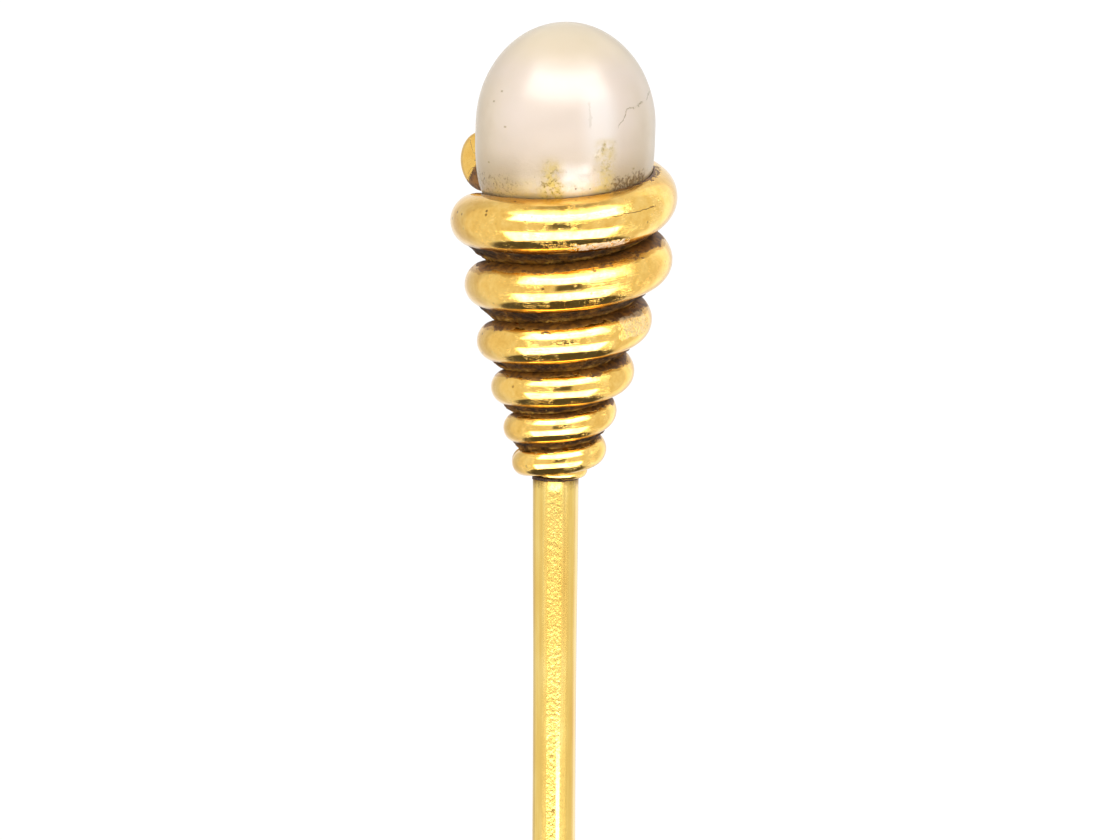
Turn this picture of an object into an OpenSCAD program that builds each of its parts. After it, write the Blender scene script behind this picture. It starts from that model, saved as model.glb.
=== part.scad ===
// Stick pin with a pearl head. The pearl stands on a peg in a small cup, at the mouth of a
// tapering coil of gold wire, and the coil is soldered round a core at the top of a pointed stem.
// Millimetres. +Z runs up the stem to the pearl. The origin is on the stem's axis, at the shoulder
// where the stem meets the head.

/* [Stem] */
// Diameter of the stem
stem_d = 1; // [0.8:0.05:1.4]
// Length of the stem below the head
stem_l = 64; // [45:1:90]
// Length of the tapered point
point_l = 13; // [6:0.5:20]
// Diameter of the rounded tip
tip_d = 0.12; // [0.06:0.02:0.3]
// Diameter of the tenon that stands in the core
tenon_d = 0.5; // [0.3:0.05:0.7]
// Length of the tenon
tenon_l = 3; // [1.5:0.25:3.5]
// Thickness of the solder between the shoulder and the head
solder_t = 0.03; // [0.02:0.01:0.1]

/* [Coil] */
// Radius of the wire where the coil has its first full turn, at the head's foot
wire_r_foot = 0.315; // [0.2:0.005:0.42]
// Radius of the wire where the coil ends, behind the pearl
wire_r_top = 0.665; // [0.5:0.005:0.8]
// Turns from the first full-size wire to the coil's end
turns = 5.87; // [4.87:0.01:7.37]
// Clear space between two turns, as a share of the wire's thickness
turn_gap = 0.14; // [0.1:0.005:0.3]
// Tilt of each turn across the head's axis, in degrees
turn_tilt = 1.6; // [0:0.1:3]
// Part of a turn over which the wire's first end tapers
tuck_turns = 0.65; // [0.1:0.05:0.7]
// Share of the wire's thickness that the first end loses
tuck_taper = 0.65; // [0.5:0.05:0.8]
// Wall of the core at the head's foot
core_wall = 0.08; // [0.05:0.01:0.2]
// Depth of the solder's face below the outside of the wire, as a share of the wire's radius
groove_depth = 0.45; // [0.25:0.05:0.7]
// Lean of the whole head on the stem, in degrees
head_lean = 1.25; // [0:0.25:3]

/* [Pearl] */
// Width of the pearl
pearl_d = 4.04; // [3.2:0.02:6]
// Height of the pearl's domed upper part, above its widest
dome_h = 2.28; // [1.6:0.02:3.4]
// Height of the pearl's fuller lower part, below its widest
base_h = 2.3; // [1.6:0.05:3.4]
// Squareness of the lower part: 2 is a plain ellipse
base_square = 3.5; // [2:0.25:5]
// Depth of the pearl's underside below the middle of the top turn's wire
pearl_sink = 0.24; // [0.1:0.02:0.4]
// How far the top turn's middle lies inside the pearl's side
seat_in = 0.11; // [0:0.01:0.4]

/* [Setting] */
// Diameter of the peg that the pearl is drilled for
peg_d = 0.8; // [0.5:0.05:1.1]
// Length of the peg inside the pearl
peg_in_pearl = 2.2; // [1:0.1:2.6]
// Length of the peg inside the core
peg_in_core = 1; // [0.5:0.1:1.5]
// Thickness of the cup
cup_t = 0.22; // [0.12:0.02:0.4]
// Thickness of the cement round the peg and under the pearl
cement_t = 0.04; // [0.02:0.01:0.08]

/* [Fits] */
// Radial clearance of the tenon in the core
tenon_fit = 0.01; // [0.005:0.005:0.03]
// Radial clearance of the coil round the core, and of the cup in the coil
coil_fit = 0.02; // [0.01:0.005:0.04]
// Radial clearance of the coil round the pearl
seat_fit = 0.03; // [0.02:0.005:0.06]
// Clearance of the solder between the turns
fill_fit = 0.02; // [0.015:0.005:0.03]

/* [Hidden] */

gold = "goldenrod";
solder_gold = "darkgoldenrod";
fine = 96;               // facets of a round piece in a preview
rings = 30;              // rings of the coil's mesh in one turn
sides = 16;              // sides of the wire in the coil's mesh
end_rings = 3;           // rings of the wire's rounded upper end
fill_steps = 4;          // steps of the solder's face along each wire
core_steps = 24;         // steps of the core's outline
profile_steps = 20;      // steps of the pearl's outline above and below its widest
tip_steps = 4;           // steps of the stem's rounded tip
tenon_chamfer = 0.08;
hole_room = 0.15;        // space past the end of the tenon or the peg
fillet = 0.02;           // spread of the solder under the head
end_round = 0.012;       // turns over which the wire's upper end is rounded
mouth_turns = 0.625;     // the top turn's front lies this far before the coil's end
widen_turns = 0.65;      // the coil has its full width this far before its end
hug_turns = 0.41;        // the wire swings out behind the pearl over this last part
flare = 0.6;             // how much of the head's widening is gathered at its middle

stem_r = stem_d / 2;
tip_r = tip_d / 2;
tenon_r = tenon_d / 2;
pearl_r = pearl_d / 2;
peg_r = peg_d / 2;

foot_r = tenon_r + tenon_fit + core_wall + coil_fit;   // inside of the coil at its foot
foot_mid_r = foot_r + wire_r_foot;                     // middle of the wire there
top_mid_r = pearl_r - seat_in;
end_mid_r = pearl_r + seat_fit + wire_r_top;
head_z = solder_t + (stem_r + fillet) * tan(head_lean);

function clamp01(t) = min(max(t, 0), 1);
function smooth(t) = let (c = clamp01(t)) c * c * (3 - 2 * c);
function reversed(list) = [for (i = [len(list) - 1 : -1 : 0]) list[i]];

// The coil, by turns s from its first full turn: the wire's radius, and the radius and height of
// the wire's middle. Each turn lies on the last one, so the height is the sum of the thicknesses.
function wire_r(s) = s < 0
    ? wire_r_foot * (1 + tuck_taper * s / tuck_turns)
    : wire_r_foot + (wire_r_top - wire_r_foot) * s / turns;
function widening(u) = (1 - flare) * clamp01(u) + flare * smooth(u);
function coil_r(s) = s < 0
    ? foot_r + wire_r(s)
    : foot_mid_r + (top_mid_r - foot_mid_r) * widening(s / (turns - widen_turns))
        + (end_mid_r - top_mid_r) * smooth((s - turns + hug_turns) / hug_turns);
function coil_z(s) = s < 0
    ? wire_r(s)
    : wire_r_foot + (1 + turn_gap)
        * (2 * wire_r_foot * s + (wire_r_top - wire_r_foot) * s * s / turns);
function coil_angle(s) = 180 + 360 * s;
function tilted_z(s) = coil_z(s) - coil_r(s) * tan(turn_tilt) * cos(coil_angle(s));

// The turn whose wire has its middle at height z, and the inside of the coil there at its lowest.
function turn_at(z) = let (
        a = (1 + turn_gap) * (wire_r_top - wire_r_foot) / turns,
        b = (1 + turn_gap) * 2 * wire_r_foot
    ) (sqrt(b * b + 4 * a * max(z - wire_r_foot, 0)) - b) / (2 * a);
function inside_at(z) = let (s = turn_at(z - top_mid_r * tan(turn_tilt))) coil_r(s) - wire_r(s);

// The pearl: an ellipse above its widest, and a squarer one below it.
pearl_low = coil_z(turns - mouth_turns) - pearl_sink;
pearl_mid = pearl_low + base_h;
function dome_r(z) = pearl_r * sqrt(max(1 - pow((z - pearl_mid) / dome_h, 2), 0));
function base_r(z) = pearl_r
    * pow(max(1 - pow((pearl_mid - z) / base_h, base_square), 0), 1 / base_square);
function pearl_r_at(z) = z < pearl_low ? 0 : z < pearl_mid ? base_r(z) : dome_r(z);
function base_z(r) = pearl_mid - base_h * pow(1 - pow(r / pearl_r, base_square), 1 / base_square);

// The pearl's underside from one radius to another, moved down by drop.
function underside(from, to, drop) = [
    for (i = [0 : profile_steps]) let (r = from + (to - from) * i / profile_steps)
        [r, base_z(r) - drop]
];

// The cup lies under the pearl and inside the coil, and the core fills the coil below it.
core_top = pearl_low - cement_t - cup_t;
cup_r = inside_at(core_top) - coil_fit;
peg_hole_r = peg_r + cement_t;
peg_top = pearl_low + peg_in_pearl;

// A point of the head from its angle, its distance from the head's axis and its height.
function head_point(angle, r, z) = [r * cos(angle), r * sin(angle), z];

// A ring of the wire, at a share of its full size. The wire is filed flat at the head's foot, and
// cut away where the pearl is seated in it.
function wire_ring(s, share) = [
    for (i = [0 : sides - 1]) let (
        a = 360 * i / sides,
        z = max(tilted_z(s) + share * wire_r(s) * sin(a), 0),
        r = coil_r(s) + share * wire_r(s) * cos(a),
        seat = pearl_r_at(z)
    ) head_point(coil_angle(s), seat > 0 ? max(r, seat + seat_fit) : r, z)
];

// The solder between one turn and the next, in a plane through the head's axis. Its two sides
// follow the wires below and above it, and q is the distance out from the line between them.
function fill_side(s, q, upper) = let (
        low = [coil_r(s), tilted_z(s)],
        high = [coil_r(s + 1), tilted_z(s + 1)],
        span = norm(high - low),
        along = (high - low) / span,
        out = [along[1], -along[0]],
        own = wire_r(upper ? s + 1 : s) + fill_fit,
        reach = sqrt(own * own - q * q)
    ) low + along * (upper ? span - reach : reach) + out * q;
function fill_ring(s) = let (
        q = wire_r(s) * (1 - groove_depth),
        lower_side = [for (i = [0 : fill_steps]) fill_side(s, q * (2 * i / fill_steps - 1), false)],
        upper_side = [for (i = [0 : fill_steps]) fill_side(s, q * (2 * i / fill_steps - 1), true)]
    ) [for (p = concat(lower_side, reversed(upper_side))) head_point(coil_angle(s), p[0], p[1])];

// A closed skin over rings that all have the same number of points.
module skin(rows) {
    n = len(rows[0]);
    last = len(rows) - 1;
    polyhedron(
        points = [for (row = rows) each row],
        faces = [
            [for (i = [0 : n - 1]) i],
            for (j = [0 : last - 1], i = [0 : n - 1]) let (k = (i + 1) % n) each [
                [j * n + i, (j + 1) * n + i, (j + 1) * n + k],
                [j * n + i, (j + 1) * n + k, j * n + k]
            ],
            [for (i = [n - 1 : -1 : 0]) last * n + i]
        ]
    );
}

// What belongs to the head leans with it.
module on_head() {
    translate([0, 0, head_z]) rotate([0, head_lean, 0]) children();
}

module peg_hole() {
    translate([0, 0, core_top - peg_in_core - hole_room])
        cylinder(r = peg_r, h = peg_in_core + peg_in_pearl + 2 * hole_room, $fn = fine);
}

module pin_stem() {
    shank_end = point_l - stem_l;
    tip_z = tip_r - stem_l;
    tenon_top = head_z + tenon_l;
    color(gold) rotate_extrude($fn = fine) polygon([
        [0, -stem_l],
        for (i = [1 : tip_steps]) let (a = 90 * i / tip_steps - 90)
            [tip_r * cos(a), tip_z + tip_r * sin(a)],
        [stem_r, shank_end],
        [stem_r, 0],
        [tenon_r, 0],
        [tenon_r, tenon_top - tenon_chamfer],
        [tenon_r - tenon_chamfer, tenon_top],
        [0, tenon_top]
    ]);
}

module stem_solder() {
    hole_r = tenon_r + tenon_fit;
    color(solder_gold) rotate_extrude($fn = fine) polygon([
        [hole_r, 0],
        [stem_r, 0],
        [stem_r + fillet, solder_t],
        [hole_r, solder_t]
    ]);
}

module coil_core() {
    top_turn = turn_at(core_top);
    color(gold) difference() {
        on_head() rotate_extrude($fn = fine) polygon([
            [0, 0],
            [foot_r - coil_fit, 0],
            for (i = [0 : core_steps]) let (z = coil_z(top_turn * i / core_steps))
                [inside_at(z) - coil_fit, z],
            [0, core_top]
        ]);
        translate([0, 0, -hole_room])
            cylinder(r = tenon_r + tenon_fit, h = head_z + tenon_l + 2 * hole_room, $fn = fine);
        on_head() peg_hole();
    }
}

module coil_wire() {
    count = ceil((turns + tuck_turns) * rings);
    color(gold) on_head() skin([
        for (j = [0 : count]) wire_ring((turns + tuck_turns) * j / count - tuck_turns, 1),
        for (j = [1 : end_rings]) let (a = 90 * j / (end_rings + 0.5))
            wire_ring(turns + end_round * sin(a), cos(a))
    ]);
}

module coil_solder() {
    span = turns + tuck_turns - 1 - hug_turns;
    count = ceil(span * rings);
    color(solder_gold) on_head() skin([
        for (j = [0 : count]) fill_ring(span * j / count - tuck_turns)
    ]);
}

module pearl_cup() {
    color(gold) on_head() difference() {
        rotate_extrude($fn = fine) polygon(concat(
            [[0, core_top], [cup_r, core_top]],
            reversed(underside(0, cup_r, cement_t))
        ));
        peg_hole();
    }
}

module pearl_peg() {
    bottom = core_top - peg_in_core;
    color(gold) on_head() translate([0, 0, bottom])
        cylinder(r = peg_r, h = peg_top - bottom, $fn = fine);
}

module pearl_cement() {
    color("ivory") on_head() difference() {
        rotate_extrude($fn = fine) polygon(concat(
            underside(0, cup_r, cement_t),
            reversed(underside(peg_hole_r, cup_r, 0)),
            [[peg_hole_r, peg_top + cement_t], [0, peg_top + cement_t]]
        ));
        translate([0, 0, core_top]) cylinder(r = peg_r, h = peg_top - core_top, $fn = fine);
    }
}

module pearl() {
    color("seashell") on_head() difference() {
        rotate_extrude($fn = fine) polygon([
            [0, pearl_low],
            for (i = [profile_steps - 1 : -1 : 1]) let (a = 90 * i / profile_steps)
                [pearl_r * pow(cos(a), 2 / base_square),
                 pearl_mid - base_h * pow(sin(a), 2 / base_square)],
            for (i = [0 : profile_steps - 1]) let (a = 90 * i / profile_steps)
                [pearl_r * cos(a), pearl_mid + dome_h * sin(a)],
            [0, pearl_mid + dome_h]
        ]);
        translate([0, 0, core_top])
            cylinder(r = peg_hole_r, h = peg_top + cement_t - core_top, $fn = fine);
    }
}

pin_stem();
stem_solder();
coil_core();
coil_wire();
coil_solder();
pearl_cup();
pearl_peg();
pearl_cement();
pearl();
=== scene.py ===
import math

import bpy
import numpy as np
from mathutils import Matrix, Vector


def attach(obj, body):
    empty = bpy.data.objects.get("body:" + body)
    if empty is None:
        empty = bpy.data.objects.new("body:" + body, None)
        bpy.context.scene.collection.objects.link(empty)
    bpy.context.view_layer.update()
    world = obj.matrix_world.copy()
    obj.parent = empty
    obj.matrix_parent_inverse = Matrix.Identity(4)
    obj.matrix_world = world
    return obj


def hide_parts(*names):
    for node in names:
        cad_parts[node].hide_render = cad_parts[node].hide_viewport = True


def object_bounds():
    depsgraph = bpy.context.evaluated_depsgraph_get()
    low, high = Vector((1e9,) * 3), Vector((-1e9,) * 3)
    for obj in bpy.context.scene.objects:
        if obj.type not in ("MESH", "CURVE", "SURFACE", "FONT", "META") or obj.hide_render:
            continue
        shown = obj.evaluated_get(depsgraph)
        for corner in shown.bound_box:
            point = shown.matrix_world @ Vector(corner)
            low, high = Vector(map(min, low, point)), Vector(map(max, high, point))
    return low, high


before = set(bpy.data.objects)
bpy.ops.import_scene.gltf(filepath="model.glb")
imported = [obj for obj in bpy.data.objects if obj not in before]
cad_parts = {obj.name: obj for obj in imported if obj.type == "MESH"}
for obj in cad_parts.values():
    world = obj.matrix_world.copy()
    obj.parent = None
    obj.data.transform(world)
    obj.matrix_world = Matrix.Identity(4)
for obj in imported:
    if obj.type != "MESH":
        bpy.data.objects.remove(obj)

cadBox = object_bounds()
mm = 0.001
full = 2 * math.pi
inDegrees = 180 / math.pi
latticeSize = 24
rng = np.random.default_rng(11)
lattice = rng.random((latticeSize, latticeSize, latticeSize))


def eased(t):                              # 3t^2 - 2t^3 between 0 and 1
    t = np.clip(t, 0, 1)
    return t * t * (3 - 2 * t)


def below(value, line, width):             # 1 below the line and 0 above it, eased over the width
    return eased((line - value) / width + 0.5)


def tan(degrees):
    return math.tan(math.radians(degrees))


# Value noise: random numbers on a cubic lattice, eased between its corners, in octaves that
# halve in size and height and start in different places. The first octave gives -1 to 1.
def grain(points, size, octaves=3):
    total, height = np.zeros(points.shape[:-1]), 1.0
    for octave in range(octaves):
        at = points / (size / 2 ** octave) + 7.3 * octave
        low = np.floor(at).astype(int)
        f = eased(at - low)
        value = 0
        for corner in range(8):
            step = np.array([corner & 1, corner >> 1 & 1, corner >> 2 & 1])
            i = (low + step) % latticeSize
            share = np.prod(np.where(step == 1, f, 1 - f), axis=-1)
            value = value + share * lattice[i[..., 0], i[..., 1], i[..., 2]]
        total += (2 * value - 1) * height
        height /= 2
    return total


# Quads between each ring of points and the next, and from the last back to the first if joined.
# Every ring wraps round.
def quadsBetween(count, sides, joined):
    i, j = np.meshgrid(np.arange(count if joined else count - 1), np.arange(sides), indexing="ij")
    n, k = (i + 1) % count, (j + 1) % sides
    corners = [i * sides + j, i * sides + k, n * sides + k, n * sides + j]
    return np.stack(corners, -1).reshape(-1, 4)


def insideOut(points, triangles):          # whether the volume they close in is negative
    p = points[triangles]
    return np.einsum("ij,ij->i", p[:, 0], np.cross(p[:, 1], p[:, 2])).sum() < 0


def linked(name, points, faces):
    mesh = bpy.data.meshes.new(name)
    mesh.from_pydata((points * mm).tolist(), [], faces)
    mesh.polygons.foreach_set("use_smooth", np.ones(len(mesh.polygons), bool))
    piece = bpy.data.objects.new(name, mesh)
    bpy.context.collection.objects.link(piece)
    return piece


# A closed skin over rings of points, shape (rings, sides, 3), with a fan of triangles over the
# first ring and over the last. Values are laid on the points as attributes.
def skin(name, rings, values=None):
    count, sides = rings.shape[:2]
    quads = quadsBetween(count, sides, joined=False)
    points = np.concatenate([rings.reshape(-1, 3), [rings[0].mean(0), rings[-1].mean(0)]])
    a = np.arange(sides)
    b = (a + 1) % sides
    lastRow = (count - 1) * sides
    first = np.stack([b, a, np.full(sides, count * sides)], -1)
    last = np.stack([lastRow + a, lastRow + b, np.full(sides, count * sides + 1)], -1)
    if insideOut(points, np.concatenate([quads[:, [0, 1, 2]], quads[:, [0, 2, 3]], first, last])):
        quads, first, last = quads[:, ::-1], first[:, ::-1], last[:, ::-1]
    piece = linked(name, points, quads.tolist() + first.tolist() + last.tolist())
    for key, value in (values or {}).items():
        flat = np.concatenate([value.reshape(-1), [value[0].mean(), value[-1].mean()]])
        layer = piece.data.attributes.new(key, "FLOAT", "POINT")
        layer.data.foreach_set("value", flat.astype(np.float32))
    piece.data.update()
    return piece


# A skin over rings that also joins its last ring to its first, so that it needs no fans.
def joinedSkin(name, rings):
    count, sides = rings.shape[:2]
    quads = quadsBetween(count, sides, joined=True)
    points = rings.reshape(-1, 3)
    if insideOut(points, np.concatenate([quads[:, [0, 1, 2]], quads[:, [0, 2, 3]]])):
        quads = quads[:, ::-1]
    return linked(name, points, quads.tolist())


# A node's output that can stand in a sum: the operators add Math nodes.
class Link:
    def __init__(self, paint, node, output=0):
        self.paint, self.node = paint, node
        self.socket = node.outputs[output] if node.outputs else None

    def out(self, output):
        return Link(self.paint, self.node, output)

    def math(self, operation, *others):
        return self.paint.add("ShaderNodeMath", {"operation": operation}, [self, *others])

    def __add__(self, other):
        return self.math("ADD", other)

    def __mul__(self, other):
        return self.math("MULTIPLY", other)

    def __sub__(self, other):
        return self.math("SUBTRACT", other)

    def __rsub__(self, other):
        return self.paint.add("ShaderNodeMath", {"operation": "SUBTRACT"}, [other, self])

    def __pow__(self, other):
        return self.math("POWER", other)

    __radd__ = __add__
    __rmul__ = __mul__

    # 0 below the first value and 1 above the second, eased; turned round when first > second
    def rise(self, first, second):
        turned = first > second
        low, high = (second, first) if turned else (first, second)
        values = {"Value": self, "From Min": low, "From Max": high}
        values.update({"To Min": float(turned), "To Max": float(not turned)})
        return self.paint.add("ShaderNodeMapRange", {"interpolation_type": "SMOOTHSTEP"}, values)

    # 1 between low and high, fading over soft outside them
    def band(self, low, high, soft):
        return self.rise(low - soft, low) * self.rise(high + soft, high)

    # 1 where the value is within near of nought, and 0 where it is further than far from it
    def line(self, far, near):
        return self.math("ABSOLUTE").rise(far, near)

    # the same patch broken up by a noise, with more of it left where the patch is stronger
    def crumbled(self, noise, weight, contrast, low, high):
        return (self * weight + (noise - 0.5) * contrast).rise(low, high) * self


# 1 on a patch by two values: low, high and soft of the first, then of the second
def patch(u, v, place):
    return u.band(*place[:3]) * v.band(*place[3:])


class Paint:
    def __init__(self, owner):
        owner.use_nodes = True
        self.owner, self.tree = owner, owner.node_tree
        self.tree.nodes.clear()

    # settings are set first, then the sockets get their values or links
    def add(self, kind, settings=None, values=None, output=0):
        node = self.tree.nodes.new(kind)
        for key, value in (settings or {}).items():
            if key == "stops":
                ramp = node.color_ramp
                while len(ramp.elements) < len(value):
                    ramp.elements.new(0.5)
                for element, (place, colour) in zip(ramp.elements, value):
                    element.position, element.color = place, (*colour, 1)
            else:
                setattr(node, key, value)
        pairs = values.items() if isinstance(values, dict) else enumerate(values or [])
        for key, value in pairs:
            if isinstance(value, Link):
                self.tree.links.new(value.socket, node.inputs[key])
            elif value is not None:
                node.inputs[key].default_value = value
        return Link(self, node, output)

    # object coordinates in millimetres, stretched by three factors
    def place(self, stretch=(1, 1, 1)):
        here = self.add("ShaderNodeTexCoord", output="Object")
        return self.add("ShaderNodeVectorMath", {"operation": "MULTIPLY"}, [here, [s / mm for s in stretch]])

    def parts(self, vector):               # its x, y and z
        split = self.add("ShaderNodeSeparateXYZ", {}, [vector])
        return [split.out(axis) for axis in range(3)]

    def fromFront(self, x, y):             # degrees round the upright axis, from -Y towards +X
        return x.math("ARCTAN2", y * -1.0) * inDegrees

    def noise(self, vector, size, detail=3, roughness=0.55, distortion=0):
        values = {"Vector": vector, "Scale": 1 / size, "Detail": detail}
        values.update({"Roughness": roughness, "Distortion": distortion})
        return self.add("ShaderNodeTexNoise", {}, values)

    def scatter(self, vector, count):      # distance to the nearest of count points to a millimetre
        return self.add("ShaderNodeTexVoronoi", {}, {"Vector": vector, "Scale": count})

    def ramp(self, factor, stops):
        return self.add("ShaderNodeValToRGB", {"stops": stops}, [factor])

    def mix(self, factor, a, b):
        a, b = [c if isinstance(c, Link) else (*c, 1) for c in (a, b)]
        return self.add("ShaderNodeMix", {"data_type": "RGBA"}, {0: factor, 6: a, 7: b}, output=2)

    def attribute(self, name):
        return self.add("ShaderNodeAttribute", {"attribute_name": name}, output="Fac")

    def bump(self, height, distance):
        return self.add("ShaderNodeBump", {}, {"Height": height, "Distance": distance * mm, "Strength": 1.0})

    def surface(self, values):
        shader = self.add("ShaderNodeBsdfPrincipled", {}, values)
        self.add("ShaderNodeOutputMaterial", {}, [shader])
        return self.owner


def material(name):
    return Paint(bpy.data.materials.new(name))


def finish(piece, look, *nodes, slot):
    piece.data.materials.clear()
    piece.data.materials.append(look)
    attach(piece, "root")
    if nodes:
        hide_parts(*nodes)
    print("made", piece.name, len(piece.data.polygons), "faces")


# The camera looks down a little from in front.
camera = {
    "aim": (0.08, 0.0, 1.32), "elevation": 9, "distance": 210, "lens": 300, "roll": 0.34,
    "clip": (0.01, 20),
}
cameraData = bpy.data.cameras.new("camera")
cameraData.lens = camera["lens"]
cameraData.clip_start, cameraData.clip_end = camera["clip"]
cameraObject = bpy.data.objects.new("camera", cameraData)
bpy.context.collection.objects.link(cameraObject)
lift = math.radians(camera["elevation"])
back = Vector((0, -math.cos(lift), math.sin(lift)))
cameraObject.location = Vector(camera["aim"]) * mm + back * camera["distance"] * mm
cameraObject.rotation_euler = (math.radians(90) - lift, 0, 0)
cameraObject.rotation_euler.rotate_axis("Z", math.radians(camera["roll"]))
bpy.context.scene.camera = cameraObject
bpy.context.scene.view_settings.view_transform = "Standard"

# The same sizes as the frame, and what the hand winding adds to them at every half turn.
head = {
    "wireFoot": 0.318, "wireTop": 0.685, "wireGrowth": 1.25, "cadFoot": 0.315, "cadTop": 0.665,
    "turns": 5.87, "gap": 0.14, "tilt": 1.6, "tuckTurns": 1.05, "tuckTaper": 0.95,
    "footInside": 0.36, "flare": 0.6, "widenTurns": 0.65, "hugTurns": 0.41, "hugGap": 0.03,
    "lean": 1.25, "stemRadius": 0.5, "solder": 0.03, "fillet": 0.02,
    "pearlRadius": 2.02, "seatIn": 0.11, "seatFit": 0.012, "dome": 2.28, "base": 2.3, "square": 3.5,
    "sink": 0.24, "mouthTurns": 0.625,
    "frontDip": [0.01, 0.045, 0.05, 0.07, 0.13, 0.115],   # how much lower each turn hangs in front
    "outwards": [0, 0.05, 0.01, -0.02, -0.01, 0, -0.03, 0, -0.07, 0.1, 0.02, -0.03, -0.04],
    "upwards": [-0.03, -0.02, -0.03, 0, -0.04, -0.07, -0.07, 0, 0.01, 0.12, 0.11, 0.09, -0.11],
}
h = head
footMid = h["footInside"] + h["cadFoot"]
topMid = h["pearlRadius"] - h["seatIn"]
endMid = h["pearlRadius"] + h["hugGap"] + h["cadTop"]
headLift = h["solder"] + (h["stemRadius"] + h["fillet"]) * tan(h["lean"])


# A value given at every half turn from the foot, eased in between.
def byHalfTurn(values, s):
    at = np.clip(2 * s, 0, len(values) - 1.001)   # stops just short of the last value
    i = at.astype(int)
    v = np.array(values)
    return v[i] + (v[i + 1] - v[i]) * eased(at - i)


# Wire radius: grows with turns to the power wireGrowth; the tucked first end tapers evenly.
def wireRadius(s):
    wound = (np.clip(s, 0, None) / h["turns"]) ** h["wireGrowth"]
    grown = h["wireFoot"] + (h["wireTop"] - h["wireFoot"]) * wound
    tucked = h["wireFoot"] * (1 + h["tuckTaper"] * s / h["tuckTurns"])
    return np.where(s < 0, tucked, grown)


# Distance of the wire's middle from the axis: widens partly evenly and partly eased, then swings
# out behind the pearl over the last part of a turn.
def coilRadius(s):
    u = s / (h["turns"] - h["widenTurns"])
    widening = (1 - h["flare"]) * np.clip(u, 0, 1) + h["flare"] * eased(u)
    swing = eased((s - h["turns"] + h["hugTurns"]) / h["hugTurns"])
    wound = footMid + (topMid - footMid) * widening + (endMid - topMid) * swing + byHalfTurn(h["outwards"], s)
    return np.where(s < 0, h["footInside"] + wireRadius(s), wound)


def plainHeight(s):                        # the sum of the wires' thicknesses below
    grow = (h["cadTop"] - h["cadFoot"]) / h["turns"]
    return h["cadFoot"] + (1 + h["gap"]) * (2 * h["cadFoot"] * s + grow * s * s)


# Height of the wire's middle: the stack of turns, tilted across the axis and hanging in front.
def coilHeight(s):
    stack = np.where(s < 0, wireRadius(s), plainHeight(s) + byHalfTurn(h["upwards"], s))
    fronts = np.arange(len(h["frontDip"])) + 0.25     # a turn starts at the left, in front a quarter on
    dip = np.interp(s, fronts, h["frontDip"]) * np.clip(-np.sin(coilAngle(s)), 0, 1) ** 2
    return stack - coilRadius(s) * tan(h["tilt"]) * np.cos(coilAngle(s)) - dip


def coilAngle(s):
    return math.pi + full * s


pearlLow = plainHeight(h["turns"] - h["mouthTurns"]) - h["sink"]
pearlMid = pearlLow + h["base"]


# Pearl radius by height: an ellipse above its widest, and below it a squarer curve whose power
# is square instead of 2.
def pearlRadiusAt(z):
    above = np.sqrt(np.clip(1 - ((z - pearlMid) / h["dome"]) ** 2, 0, 1))
    under = np.clip(1 - np.clip((pearlMid - z) / h["base"], 0, 1) ** h["square"], 0, 1) ** (1 / h["square"])
    return h["pearlRadius"] * np.where(z > pearlMid, above, np.where(z < pearlLow, 0, under))


# From angle, radius and height about the head's own axis to the row frame: leaned, then lifted.
def onHead(angle, radius, z):
    x, y, z = np.broadcast_arrays(radius * np.cos(angle), radius * np.sin(angle), z)
    lean = math.radians(h["lean"])
    along, up = x * math.cos(lean) + z * math.sin(lean), z * math.cos(lean) - x * math.sin(lean)
    return np.stack([along, y, up + headLift], -1)


# The direction from the wire's middle to the turn above, in the plane through the axis, and how
# far away that turn is.
def toNextTurn(s):
    dr, dz = coilRadius(s + 1) - coilRadius(s), coilHeight(s + 1) - coilHeight(s)
    span = np.hypot(dr, dz)
    return dr / span, dz / span, span


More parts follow.
